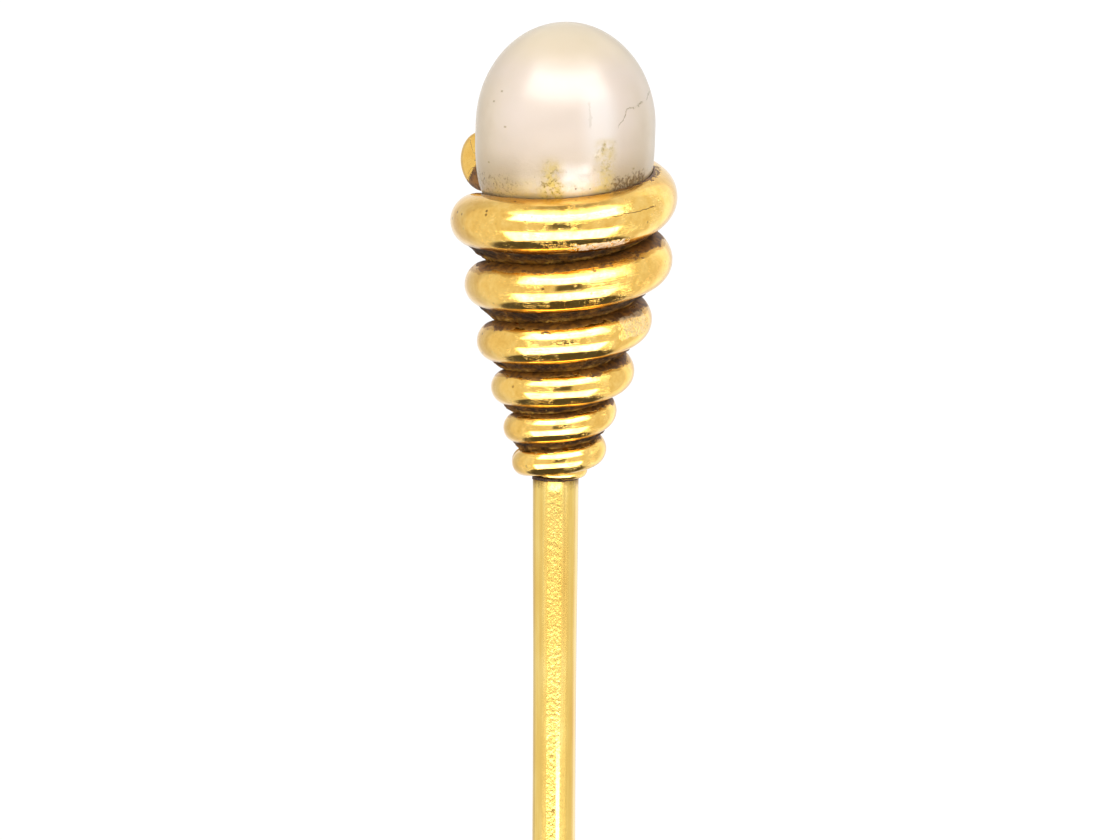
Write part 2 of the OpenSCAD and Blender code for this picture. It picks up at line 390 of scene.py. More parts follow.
coil = {
    "ringsPerTurn": 150, "sides": 72, "endRings": 10, "endRound": 0.012, "endFullness": 0.6,
    "seatLip": 0.01, "seatFrom": 0.5,
    # unevenness of the hand-drawn wire and of its winding, and the length that it changes over
    "wobble": 0.006, "wobbleSize": 0.7, "sway": 0.003, "swaySize": 1.1,
    # how far grime and stain come out of the grooves: 0 where two turns touch, 1 outermost
    "grimeTop": (0.40, 0.045), "grimeUnder": 0.36, "grimeSoft": 0.5, "stainTop": 0.12,
    "stainUnder": 0.7, "topSoft": 0.35, "underSoft": 0.3, "insideEdge": 0.05, "insideSoft": 0.5,
    # round the pearl's seat, partly dirt and partly painted shade; on the cut end, painted shade, by depth,
    # reach and middle
    "seatDirtAndShade": 0.12, "endShade": (0.004, 0.9, 0.3),
    # in turns: where it starts above and under the wire, and the stretch with no turn above it
    "start": -0.09, "underStart": 0.7, "openTurns": 1.15, "openEdge": -0.6, "fade": 0.3,
    # marks: from and to which turn and softness, then degrees round the section and softness
    "crack": (5.32, 5.40, 0.008, 18), "residue": (5.28, 5.34, 0.035, -53, -38, 8),
    "scuff": (3.385, 3.44, 0.035, -4, 46, 12), "scratched": (4.3, 4.42, 0.03, -5, 55, 15),
    "lodged": (5.44, 5.53, 0.02, 70, 100, 10),
    "gold": (0.86, 0.53, 0.125), "paleGold": (0.92, 0.63, 0.20), "deepGold": (0.78, 0.44, 0.085),
    "grime": (0.075, 0.028, 0.004), "amber": (0.24, 0.10, 0.012), "amberGold": (0.52, 0.27, 0.04),
    "residueColour": (0.90, 0.74, 0.62), "scuffColour": (0.80, 0.62, 0.38),
    # sizes of the blotches in the gold and in the grime, and limits that thin lines fade between
    "patches": 0.8, "waves": 0.42, "middle": 0.2, "fine": 0.055, "lines": 0.11, "wornSize": 0.55,
    "ragged": 0.24, "stains": 0.22, "crumbs": 0.1, "scratch": (0.012, 0.002), "hair": (0.006, 0.001),
    "crackWidth": (1.3, 0.4), "crackWander": 14, "pitsPerMm": 3.2,
    "roughness": 0.105, "worn": 0.2, "grimeRough": 0.42, "relief": 0.0009, "innerRelief": 0.003,
}


# Where grime and stain lie on the wire, from 0 to 1: above and under it in the grooves, inside,
# round the pearl's seat, partly dirt and partly painted shade, and on the cut end, which is painted
# shade. The sine of a point's angle from the line between two turns' middles says how far out of
# the groove it faces.
def coilGrime(S, A, r, seat):
    c = coil
    upR, upZ, _ = toNextTurn(S)
    downR, downZ, _ = toNextTurn(S - 1)
    onTop = np.cos(A) * upR + np.sin(A) * upZ > 0
    onUnderside = np.cos(A) * downR + np.sin(A) * downZ < 0
    facingUp = np.cos(A) * upZ - np.sin(A) * upR
    facingDown = np.cos(A) * downZ - np.sin(A) * downR
    edge, slope = c["grimeTop"]
    bare = eased((S - h["turns"] + c["openTurns"]) / c["fade"])
    topLine = (edge + slope * S) * (1 - bare) + c["openEdge"] * bare
    started = eased((S - c["start"]) / c["fade"])
    startedUnder = eased((S - c["underStart"]) / c["fade"])
    above = below(facingUp, topLine, c["grimeSoft"]) * onTop * started
    under = below(facingDown, c["grimeUnder"], c["grimeSoft"]) * onUnderside * startedUnder
    inside = eased((c["insideEdge"] - np.cos(A)) / c["insideSoft"]) * (1 - bare)
    # painted shade on the wire's cut end, all but its outer side
    depth, reach, middle = c["endShade"]
    onEnd = eased((S - h["turns"]) / depth) * eased(reach - np.cos(A - middle))
    # darker where the wire meets the pearl: partly dirt, partly painted shade in the crevice between them
    atSeat = np.where(seat > c["seatFrom"], eased(1 - (r - seat - h["seatFit"]) / c["seatDirtAndShade"]), 0)
    stainAbove = below(facingUp, topLine + c["stainTop"], c["topSoft"]) * onTop * started
    stainUnder = below(facingDown, c["stainUnder"], c["underSoft"]) * onUnderside
    grime = np.clip(above + under + inside + onEnd + atSeat, 0, 1)
    return grime, np.clip(stainAbove + stainUnder, 0, 1)


# Wire of round section swept along the coil: s is the turn and a goes round the section from its
# inner side. It is filed flat at the foot, and cut to the pearl where the pearl is seated in it.
def buildCoil():
    c = coil
    count = int((h["turns"] + h["tuckTurns"]) * c["ringsPerTurn"])
    s = np.linspace(-h["tuckTurns"], h["turns"], count)
    closing = np.linspace(0, math.pi / 2, c["endRings"] + 1)[1:-1]
    s = np.concatenate([s, h["turns"] + c["endRound"] * np.sin(closing)])
    share = np.concatenate([np.ones(count), np.cos(closing) ** c["endFullness"]])
    a = math.pi + full * np.arange(c["sides"]) / c["sides"]
    S, A = np.meshgrid(s, a, indexing="ij")
    onWire = np.stack([2 * np.cos(coilAngle(S)), 2 * np.sin(coilAngle(S)), coilHeight(S)], -1)
    wire = wireRadius(S) * (1 + c["wobble"] * grain(onWire, c["wobbleSize"], 2)) * share[:, None]
    sway = c["sway"] * grain(onWire + 40, c["swaySize"], 1)
    z = np.maximum(coilHeight(S) + wire * np.sin(A), 0)
    r = coilRadius(S) + sway + wire * np.cos(A)
    seat = pearlRadiusAt(z)
    lip = h["seatFit"] + c["seatLip"] * (1 + np.cos(A)) / 2
    r = np.where(seat > 0, np.maximum(r, seat + lip), r)
    grime, stained = coilGrime(S, A, r, seat)
    step = np.hypot(np.gradient(coilRadius(s)), np.gradient(s) * full * coilRadius(s))
    values = {
        "grime": grime, "stained": stained, "turn": S, "facing": np.degrees((A + math.pi) % full - math.pi),
        "along": np.cumsum(step)[:, None] + 0 * A, "round": A * wireRadius(S),
    }
    return skin("coil", onHead(coilAngle(S), r, z), values)


# Worn gold: tones in patches, drawing lines, scratches, worn places and pits. Gives its colour,
# roughness and height, and the lines and pits by themselves.
def wornGold(m, p, drawn):
    here = m.place()
    patches = m.noise(here, p["patches"], 4, 0.6)
    waves = m.noise(here, p["waves"], 2, 0.4)
    middle = m.noise(here, p["middle"], 5, 0.65)
    fine = m.noise(here, p["fine"], 5, 0.7)
    lines = m.noise(drawn, p["lines"], 5, 0.65)
    across = m.noise(m.place((1, 1, 7)), 0.5, 4, 0.6, 0.8)
    worn = m.noise(here, p["wornSize"], 5, 0.7, 0.6).rise(0.48, 0.7)
    tone = patches * 0.45 + middle * 0.35 + fine * 0.2
    colour = m.ramp(tone, [(0.36, p["deepGold"]), (0.5, p["gold"]), (0.66, p["paleGold"])])
    colour = m.mix(worn * 0.35, colour, p["paleGold"])
    scratch = (lines - 0.5).line(*p["scratch"]) * m.noise(here, 0.5, 3).rise(0.5, 0.62)
    scratch = scratch + (across - 0.5).line(*p["hair"]) * worn
    rough = middle * 0.07 + fine * 0.08 + worn * (p["worn"] - p["roughness"])
    rough = rough + (p["roughness"] - 0.07) + scratch * 0.1
    pit = m.scatter(here, p["pitsPerMm"]).rise(0.15, 0.05) * m.noise(here, 1.1, 2).rise(0.5, 0.58)
    height = lines * 0.5 + fine * 0.45 + middle * 0.4 + patches * 0.8 + waves * 2.4
    height = height - pit * 4 - scratch * 1.2
    return colour, rough, height, lines, pit


def innerLook():                           # the gold of the hidden pieces, with no grime on it
    m = material("inner_gold")
    colour, rough, height, _, _ = wornGold(m, coil, m.place((3, 3, 0.12)))
    bump = m.bump(height, coil["innerRelief"])
    return m.surface({"Base Color": colour, "Metallic": 1.0, "Roughness": rough, "Normal": bump})


# The wire: worn gold with ragged grime and a thin stain along the grooves, and its own marks.
def coilLook():
    p = coil
    m = material("coil_gold")
    here = m.place()
    along, aroundWire, turn = [m.attribute(name) for name in ("along", "round", "turn")]
    grime, stained, facing = [m.attribute(name) for name in ("grime", "stained", "facing")]
    drawn = m.add("ShaderNodeCombineXYZ", {}, [along * 0.3, aroundWire * 3.5, turn])
    wound = m.add("ShaderNodeCombineXYZ", {}, [along * 0.4, aroundWire, turn * 3])
    colour, rough, height, lines, pit = wornGold(m, p, drawn)
    ragged = m.noise(wound, p["ragged"], 6, 0.68)
    stains = m.noise(wound, p["stains"], 5, 0.7)
    crumbs = m.noise(here, p["crumbs"], 4, 0.75)
    # the grime value also carries painted shade on the cut end and, in part, at the pearl's seat
    mask = (grime + (ragged - 0.5) * 4).rise(0.5, 0.58) * grime.rise(0.02, 0.14)
    thin = (stained + (stains - 0.5) * 2.2).rise(0.35, 0.7) * 0.85
    *stretch, middle = p["crack"]
    wander = (m.noise(here, 0.35, 4, 0.7) - 0.5) * p["crackWander"]
    crack = (facing - middle + wander).line(*p["crackWidth"]) * turn.band(*stretch)
    residue = patch(turn, facing, p["residue"]).crumbled(crumbs, 0.75, 3.6, 0.45, 0.75)
    lodged = patch(turn, facing, p["lodged"]).crumbled(crumbs, 0.75, 3.4, 0.62, 0.8)
    scuffed = patch(turn, facing, p["scuff"]).crumbled(crumbs, 0.8, 3.2, 0.4, 0.8)
    scratched = patch(turn, facing, p["scratched"])
    mask = mask.math("MAXIMUM", lodged)
    brown = m.mix(m.noise(here, 0.16, 5, 0.7).rise(0.4, 0.58), p["grime"], p["amber"])
    colour = m.mix(thin, colour, p["amberGold"])
    colour = m.mix(mask, colour, brown)
    colour = m.mix((pit + crack).math("MINIMUM", 1.0) * 0.8, colour, p["grime"])
    colour = m.mix(residue * 0.85, colour, p["residueColour"])
    colour = m.mix(scuffed * 0.45, colour, p["scuffColour"])
    rough = rough + thin * 0.12 + mask * (p["grimeRough"] - rough) + residue * 0.3 + scuffed * 0.14
    metal = 1 - mask * 0.8 - residue * 0.5 * (1 - mask)
    height = height + mask * (ragged * 14 + 4) + thin * 1.6 + residue * (crumbs * 30)
    height = height + scuffed * (crumbs * 12 + stains * 8) + scratched * lines * 9
    bump = m.bump(height, p["relief"])
    return m.surface({"Base Color": colour, "Metallic": metal, "Roughness": rough, "Normal": bump})


groove = {
    "ringsPerTurn": 330, "faceSteps": 22, "backSteps": 6, "start": -0.4, "pastHug": 0.28,
    # how far out it meets the wires, in their radii, and how deep it bites into them
    "low": (0.16, -0.07), "high": 0.56, "bite": (0.96, 0.97), "flush": 0.98, "sag": -0.01,
    "crumb": 0.04, "crumbSize": 0.16, "ledge": 0.02, "ledgeSize": 0.5, "edgeCrumb": 0.35,
    "back": (0.25, 0.75), "backIn": 0.25, "lowest": 0.01,
    "dark": (0.016, 0.006, 0.001), "brown": (0.10, 0.04, 0.005), "amber": (0.32, 0.14, 0.014),
    "grey": (0.10, 0.075, 0.05), "gold": (0.78, 0.44, 0.085), "glint": (0.7, 0.45, 0.16),
    "clumps": 0.2, "tiny": 0.05, "wide": 0.7, "relief": 0.03, "specular": 0.16,
}


# Radius and height of a point so far along the line from one turn's middle to the next, and so
# far out from it.
def betweenTurns(s, along, out):
    dr, dz, _ = toNextTurn(s)
    return coilRadius(s) + dr * along + dz * out, coilHeight(s) + dz * along - dr * out


# In the plane through the axis: from the top of the lower wire to the underside of the upper one,
# hollowed between them by a parabola and crumbled by noise; it closes behind, between the wires.
def buildGroove():
    g = groove
    last = h["turns"] - 1 - h["hugTurns"] + g["pastHug"]
    s = np.linspace(g["start"], last, int((last - g["start"]) * g["ringsPerTurn"]))
    S, T = np.meshgrid(s, np.linspace(0, 1, g["faceSteps"]), indexing="ij")
    lowWire, highWire = wireRadius(S), wireRadius(S + 1)
    edge, slope = g["low"]
    lowOut, highOut = (edge + slope * S) * lowWire, g["high"] * highWire
    lowBite, highBite = g["bite"]
    fromLow = np.sqrt(lowWire ** 2 - lowOut ** 2) * lowBite
    fromHigh = toNextTurn(S)[2] - np.sqrt(highWire ** 2 - highOut ** 2) * highBite
    along = fromLow + (fromHigh - fromLow) * T
    out = (lowOut + (highOut - lowOut) * T) * g["flush"] - g["sag"] * (1 - (2 * T - 1) ** 2)
    where = onHead(coilAngle(S), coilRadius(S) + out, coilHeight(S) + along)
    crumbs = grain(where, g["crumbSize"], 4)
    uneven = g["crumb"] * crumbs + g["ledge"] * grain(where + 30, g["ledgeSize"], 2)
    out = out + uneven * (g["edgeCrumb"] + (1 - g["edgeCrumb"]) * np.sin(math.pi * T))
    backS, backT = np.meshgrid(s, np.linspace(1, 0, g["backSteps"]), indexing="ij")
    near, far = g["back"]
    backAlong = toNextTurn(backS)[2] * (near + (far - near) * backT)
    faceR, faceZ = betweenTurns(S, along, out)
    backR, backZ = betweenTurns(backS, backAlong, -g["backIn"] * wireRadius(backS))
    radius, height = np.concatenate([faceR, backR], 1), np.concatenate([faceZ, backZ], 1)
    turn = np.concatenate([S, backS], 1)
    values = {
        "crumbs": np.concatenate([crumbs, 0 * backR], 1), "turn": turn,
        "across": np.concatenate([T, backT], 1),
    }
    return skin("grooveFill", onHead(coilAngle(turn), radius, np.maximum(height, g["lowest"])), values)


# Dark crumbly dirt, amber in places, with glints in it and bare gold along its lower edge.
def grooveLook():
    g = groove
    m = material("groove_grime")
    here = m.place()
    clumps = m.noise(here, g["clumps"], 6, 0.75)
    tiny = m.noise(here, g["tiny"], 4, 0.7)
    wide = m.noise(here, g["wide"], 3, 0.5)
    low = m.attribute("across").rise(0.75, 0.05)
    tone = clumps * 0.7 + tiny * 0.3 + m.attribute("crumbs") * 0.12
    tone = tone + (low - 0.4) * 0.2 + (wide - 0.5) * 0.4
    colour = m.ramp(tone, [(0.36, g["dark"]), (0.5, g["brown"]), (0.68, g["amber"])])
    colour = m.mix(m.noise(here, 0.5, 4, 0.6).rise(0.58, 0.7) * 0.5, colour, g["grey"])
    glint = m.noise(here, 0.04, 2).rise(0.68, 0.74)
    edge = m.attribute("across").rise(0.5, 0.05) * m.noise(here, 0.45, 5, 0.65).rise(0.47, 0.6)
    bare = (m.attribute("turn").rise(0.05, -0.1) + edge * clumps.rise(0.4, 0.55)).math("MINIMUM", 1.0)
    colour = m.mix(glint, colour, g["glint"])
    colour = m.mix(bare, colour, g["gold"])
    bump = m.bump(clumps * 2 + tiny * 1.4, g["relief"])
    rough = 0.72 - clumps * 0.3 - bare * 0.35
    return m.surface({"Base Color": colour, "Roughness": rough, "Metallic": glint.math("MAXIMUM", bare),
                      "Normal": bump, "Specular IOR Level": g["specular"]})


pearl = {
    "sides": 320, "outline": 150, "hole": 0.44, "holeTop": 2.24, "holeRows": 12,
    "ripple": 0.008, "rippleSize": 1.3, "thinnest": 0.005,
    "axis": 0.18,                          # how far the lean puts its axis to the right
    # dents: degrees from the front, height over the widest, size and depth
    "dents": [(-56, 0.62, 0.05, 0.012), (-50, 0.86, 0.035, 0.008), (14, -0.85, 0.12, 0.012),
              (-12, -0.4, 0.16, 0.006), (4, -1.05, 0.1, 0.014), (-3, -0.8, 0.09, 0.01),
              (21, -0.55, 0.1, 0.01)],
    "freckles": [(-56, 0.62), (-50, 0.86), (-58, -0.75), (-42, 0.1), (50, -0.85)],
    # patches: degrees from the front and softness, then height over the widest and softness
    # the pink front is painted light; the sheen and lustre places are painted highlights
    "litPinkPlace": (-28, 34, 35, -1.0, 1.2, 0.9), "sheenPlace": (20, 26, 14, -0.5, 0.6, 0.6),
    "lustrePlace": (2, 12, 7, -1.15, -0.85, 0.3), "stainPlace": (25, 28, 9, -1.2, -0.3, 0.25),
    "crackStretch": (37, 80, 2), "crackWidth": (0.028, 0.006),
    # top is painted light on the dome; sheen is the colour of painted highlights; beige also paints shade at
    # the sides
    "cream": (0.77, 0.64, 0.48), "pink": (0.84, 0.71, 0.62), "beige": (0.57, 0.44, 0.28),
    "dull": (0.40, 0.29, 0.13), "top": (0.93, 0.78, 0.54), "sheen": (1.0, 0.93, 0.88),
    "veil": (0.60, 0.43, 0.08), "stain": (0.24, 0.15, 0.012), "dirt": (0.10, 0.042, 0.004),
    "crack": (0.26, 0.17, 0.02), "roughness": 0.285, "coat": 0.35, "relief": 0.006,
    "nacre": {"IOR": 1.55, "Coat Roughness": 0.22, "Coat IOR": 1.5, "Subsurface Weight": 0.12,
              "Subsurface Scale": 0.0004, "Subsurface Radius": (1.0, 0.75, 0.6)},
}


# The outline turned about the head's axis: drill hole, underside, squarer curve, dome. Noise and
# dents move its outer part along its normal.
def buildPearl():
    p = pearl
    quarter = np.linspace(0, math.pi / 2, p["outline"])[1:]
    power = 2 / h["square"]
    baseR = h["pearlRadius"] * np.sin(quarter) ** power
    baseZ = pearlMid - h["base"] * np.cos(quarter) ** power
    keep = baseR > p["hole"] * 1.05
    high = quarter[:-1]
    rim = pearlMid - h["base"] * (1 - (p["hole"] / h["pearlRadius"]) ** h["square"]) ** (1 / h["square"])
    holeR = [0.02, p["hole"] * 0.5] + [p["hole"]] * p["holeRows"]
    holeZ = np.linspace(pearlLow + p["holeTop"], rim, p["holeRows"])
    radius = np.concatenate([holeR, baseR[keep], h["pearlRadius"] * np.cos(high)])
    height = np.concatenate([[holeZ[0]] * 2, holeZ, baseZ[keep], pearlMid + h["dome"] * np.sin(high)])
    angle = full * np.arange(p["sides"]) / p["sides"]
    H, A = np.meshgrid(height, angle, indexing="ij")
    R = np.broadcast_to(radius[:, None], H.shape)
    outer = (np.arange(len(radius)) >= len(holeR))[:, None]
    where = np.stack([R * np.cos(A), R * np.sin(A), H], -1)
    change = p["ripple"] * grain(where, p["rippleSize"], 3) - p["ripple"]
    for turn, up, size, depth in p["dents"]:
        z = pearlMid + up
        around = np.array([math.sin(math.radians(turn)), -math.cos(math.radians(turn))])
        middle = np.array([*(around * pearlRadiusAt(z)), z])
        away = np.sqrt(((where - middle) ** 2).sum(-1))
        change = change - depth * np.exp(-(away / size) ** 2)
    slope = np.gradient(radius) / np.maximum(np.hypot(np.gradient(radius), np.gradient(height)), 1e-9)
    R = R + np.where(outer, change * np.sqrt(np.clip(1 - slope ** 2, 0, 1))[:, None], 0)
    R = np.maximum(R, p["thinnest"])
    return skin("pearl_head", onHead(A, R, H - np.where(outer, p["ripple"] * 0.2, 0)))


# Nacre: cloudy cream; lighter and pinker in front, darker and yellower at the sides, lighter and
# warmer on top, all painted light and shade; a painted sheen and a painted highlight low in front;
# darker towards the foot; with yellow stains, dirt and a crack. z is the height over the pearl's
# widest and turn is from the front.
def pearlLook():
    p = pearl
    m = material("pearl_nacre")
    here = m.place()
    x, y, z = m.parts(here)
    z = z - (pearlMid + headLift)
    turn = m.fromFront(x - p["axis"], y)
    cloud = m.noise(here, 1.6, 4, 0.55)
    fine = m.noise(here, 0.12, 4, 0.6)
    colour = m.ramp(cloud, [(0.15, p["beige"]), (0.5, p["cream"]), (0.85, p["pink"])])
    # painted light: the front lighter and pinker than the rest
    colour = m.mix(patch(turn, z, p["litPinkPlace"]) * 0.75, colour, p["pink"])
    # a painted sheen: a near-white patch right of the front
    colour = m.mix(patch(turn, z, p["sheenPlace"]) * 0.6, colour, p["sheen"])
    # painted light: lighter and warmer on top
    colour = m.mix(z.rise(1.2, 2.1) * 0.7, colour, p["top"])
    # painted shade: darker and yellower at the sides
    colour = m.mix((turn.rise(48, 80) + turn.rise(-48, -80)) * 0.4, colour, p["beige"])
    colour = m.mix(z.rise(0.5, -1.2) * 0.6, colour, p["beige"])
    colour = m.mix(z.rise(-0.35, -1.25) * (1 - turn.band(0, 14, 14)) * 0.75, colour, p["dull"])
    # a painted highlight low in front, broken by the cloud
    lustre = patch(turn, z, p["lustrePlace"]) * cloud.rise(0.3, 0.5)
    colour = m.mix(lustre * 0.5, colour, p["sheen"])
    # two yellow stains low in front, a thin veil between them and darker crumbs in them
    mottle, crumbs = m.noise(here, 0.28, 5, 0.7), m.noise(here, 0.17, 5, 0.7)
    left = turn.band(-10, -7, 9) * z.rise(-0.4, -0.85)
    right = patch(turn, z, p["stainPlace"])
    between = turn.band(-50, 50, 20) * z.rise(-0.9, -1.25)
    veil = (left + right * 0.9 + between * 0.4) * mottle.rise(0.32, 0.6)
    stain = veil * crumbs.rise(0.55, 0.64)
    colour = m.mix(veil * 0.8, colour, p["veil"])
    colour = m.mix(stain * 0.7, colour, p["stain"])
    # dirt along the foot, higher at the right
    speckled = m.noise(here, 0.07, 5, 0.75)
    foot = z + turn.rise(30, 75) * -0.12 - mottle * 0.3 - crumbs * 0.25
    where = turn.band(36, 62, 8) * 0.8 + turn.band(-85, -40, 14) * 0.45
    where = where + turn.band(-14, -4, 6) * 0.4 + 0.12
    dirt = foot.rise(-1.1, -1.4) * where
    dirt = (dirt * 0.8 + (speckled - 0.5) * 3.6).rise(0.5, 0.8) * dirt.math("MINIMUM", 1.0)
    colour = m.mix(dirt * 0.85, colour, p["dirt"])
    # a broken crack at the right that climbs steeply, then flatly, and a faint upright one
    path = (turn * 0.0435 - 1.42).math("MINIMUM", turn * 0.008 + 0.11)
    wander = (m.noise(here, 0.25, 4, 0.7) - 0.5) * 0.3
    broken = m.noise(here, 0.32, 3).rise(0.43, 0.53)
    crack = (z - path + wander).line(*p["crackWidth"]) * turn.band(*p["crackStretch"]) * broken
    upright = (turn - 16 + (fine - 0.5) * 5).line(1.1, 0.3) * z.band(0.2, 0.65, 0.1)
    colour = m.mix(crack * 0.62 + upright * 0.16, colour, p["crack"])
    for around, up in p["freckles"]:
        freckle = patch(turn, z, (around - 0.6, around + 0.6, 0.8, up - 0.01, up + 0.01, 0.02))
        colour = m.mix(freckle * 0.6, colour, p["crack"])
    specks = m.scatter(here, 5).rise(0.16, 0.05)
    colour = m.mix(specks * z.rise(-0.7, -1.2) * 0.8, colour, p["dirt"])
    flaws = mottle * z.rise(-0.1, -0.9)
    height = cloud * 0.6 + fine * 0.03 + flaws * 2.5 - crack * 1.6 - stain * 1.2 - upright * 0.6 - dirt
    rough = p["roughness"] + cloud * 0.05 + veil * 0.12 + stain * 0.25 + dirt * 0.35
    coat = p["coat"] - (veil * 0.5 + dirt).math("MINIMUM", 1.0) * p["coat"]
    return m.surface({"Base Color": colour, "Roughness": rough, "Coat Weight": coat,
                      "Normal": m.bump(height, p["relief"]), **p["nacre"]})


stem = {
    "length": 64, "point": 13, "tip": 0.06, "tenon": 0.25, "tenonLength": 3, "tenonEdge": 0.08,
    "sides": 144, "step": 0.22, "tipRows": 8, "coneRows": 60, "tenonRows": 10,
    "top": 0.515, "shank": 0.489, "narrows": 5,
    "shankEnd": -0.03, "bevel": [(-0.008, 0.006), (0, 0.02)],   # heights and insets of its edge
    # hammered flats, the ridges between them (height, number, turn in a millimetre), slow bends
    "flat": 0.010, "flatLength": 14, "ridges": (0.35, 7, 0.05), "bend": 0.004, "bendLength": 2.2,
    "facet": (-2, 19, 0.55),               # degrees from the front, half its width and its depth
    "gold": (0.82, 0.565, 0.15), "paleGold": (0.90, 0.69, 0.24), "deepGold": (0.74, 0.46, 0.10),
    # the bright strip colour is a painted highlight, and the side colour painted shade
    "paintedHighlight": (0.97, 0.84, 0.45), "grime": (0.10, 0.04, 0.009), "dent": (0.55, 0.32, 0.07),
    "side": (0.62, 0.45, 0.36), "relief": 0.0014,
}


# A round bar: a half-ball tip, a straight cone, a shank that thickens near the head, a step at the
# shoulder and the tenon. The hammered flats change the radius slowly along and round the bar.
def buildStem():
    t = stem
    end = t["tip"] - t["length"]
    coneEnd = t["point"] - t["length"]
    ball = np.linspace(-math.pi / 2, 0, t["tipRows"])[1:]
    cone = np.linspace(end, coneEnd, t["coneRows"])[1:]
    shank = np.linspace(coneEnd, t["shankEnd"], int(-coneEnd / t["step"]))[1:]
    bevelZ, inset = np.transpose(t["bevel"])
    tenonTop = headLift + t["tenonLength"]
    tenonZ = [*np.linspace(0, tenonTop - t["tenonEdge"], t["tenonRows"])[1:], tenonTop]
    tenonR = [t["tenon"]] * (len(tenonZ) - 1) + [t["tenon"] - t["tenonEdge"]]
    height = np.concatenate([end + t["tip"] * np.sin(ball), cone, shank, bevelZ, [0], tenonZ])
    grown = t["tip"] + (t["shank"] - t["tip"]) * (cone - cone[0]) / (cone[-1] - cone[0])
    thick = t["shank"] + (t["top"] - t["shank"]) * eased(1 + shank / t["narrows"])
    shoulder = [*(t["top"] - inset), t["tenon"]]
    radius = np.concatenate([t["tip"] * np.cos(ball), grown, thick, shoulder, tenonR])
    worked = np.arange(len(radius)) < len(ball) + len(cone) + len(shank)
    angle = full * np.arange(t["sides"]) / t["sides"]
    H, A = np.meshgrid(height, angle, indexing="ij")
    around = np.stack([0.9 * np.cos(A), 0.9 * np.sin(A), H / t["flatLength"]], -1)
    tall, number, twist = t["ridges"]
    flats = grain(around, 0.8, 2) + tall * np.cos(number * A + twist * H)
    bends = grain(np.stack([0 * A, 0 * A, H / t["bendLength"]], -1), 1.0, 1)
    # and one worn facet runs down the front: part of the way to the chord between its edges
    middle, half, share = t["facet"]
    off = np.degrees(A) - 270 - middle
    chord = np.cos(math.radians(half)) / np.cos(np.radians(np.clip(off, -half, half))) - 1
    facet = np.where(abs(off) < half, share * chord, 0)
    R = radius[:, None] * (1 + (t["flat"] * flats + t["bend"] * bends + facet) * worked[:, None])
    return skin("stem", np.stack([R * np.cos(A), R * np.sin(A), H], -1))


# Gold drawn out lengthwise, with a dent and grime near the top, painted shade down its right side,
# and a facet that is grained, darkened high up by painted shade, with a painted highlight strip in it
# further down.
def stemLook():
    p = stem
    m = material("stem_gold")
    here = m.place()
    x, y, z = m.parts(here)
    turn = m.fromFront(x, y)
    squat = m.place((1, 1, 0.7))
    lines = m.noise(m.place((2.2, 2.2, 0.05)), 0.16, 4, 0.6)
    fineLines = m.noise(m.place((5, 5, 0.25)), 0.1, 4, 0.6)
    grains = m.noise(squat, 0.065, 3, 0.6)
    patches = m.noise(m.place((1, 1, 0.3)), 0.8, 4, 0.6)
    tone = patches * 0.6 + lines * 0.4
    colour = m.ramp(tone, [(0.32, p["deepGold"]), (0.5, p["gold"]), (0.66, p["paleGold"])])
    dent = (turn - 24 + (lines - 0.5) * 6).line(5, 1) * z.rise(-5.5, -2.5)
    colour = m.mix(dent * 0.4, colour, p["dent"])
    # painted shade: darker and greyer down the right side
    colour = m.mix(turn.band(66, 130, 14) * 0.3, colour, p["side"])
    specks = m.scatter(squat, 1.7).rise(0.09, 0.03) * m.noise(here, 2.2, 2).rise(0.5, 0.6)
    colour = m.mix(specks * 0.8, colour, p["grime"])
    top = (z + (grains - 0.5) * 0.35).rise(-0.25, 0.02)
    colour = m.mix(top * 0.7, colour, p["grime"])
    low = z.rise(-2, -9)
    # a painted highlight: a bright strip down the facet, lower on the stem
    highlightStrip = turn.band(7, 14, 3) * (z + (patches - 0.5) * 3).rise(-5, -7.5)
    grainedAndShaded = turn.band(-20, 16, 2) * (1 - highlightStrip)
    # painted shade: the facet darker high up, so its reflection brightens downwards; the same mask grains it
    colour = m.mix(grainedAndShaded * (1 - low) * 0.5, colour, p["deepGold"])
    colour = m.mix(highlightStrip * 0.7, colour, p["paintedHighlight"])
    rough = 0.07 + patches * 0.06 + grains * 0.08 + top * 0.3 + highlightStrip * 0.2
    height = lines * 1.2 + fineLines * 0.5 + grains * 0.6 + grainedAndShaded * grains * (low * 2.5 + 3)
    bump = m.bump(height - specks - dent, p["relief"])
    return m.surface({"Base Color": colour, "Metallic": 1.0, "Roughness": rough, "Normal": bump})


seam = {
    "sides": 180, "rows": 12, "outer": 0.515, "inner": 0.27, "under": 0.004, "over": 0.008,
    "spread": 0.03, "grains": 0.08, "roughness": (0.75, 0.3), "relief": 0.01,
    "stops": [(0.35, (0.012, 0.006, 0.003)), (0.55, (0.05, 0.022, 0.008)), (0.75, (0.25, 0.12, 0.03))],
}
cement = {
    "grains": 0.08, "roughness": (0.8, 0.2), "relief": 0.008,
    "stops": [(0.35, (0.55, 0.46, 0.32)), (0.6, (0.75, 0.68, 0.52))],
}


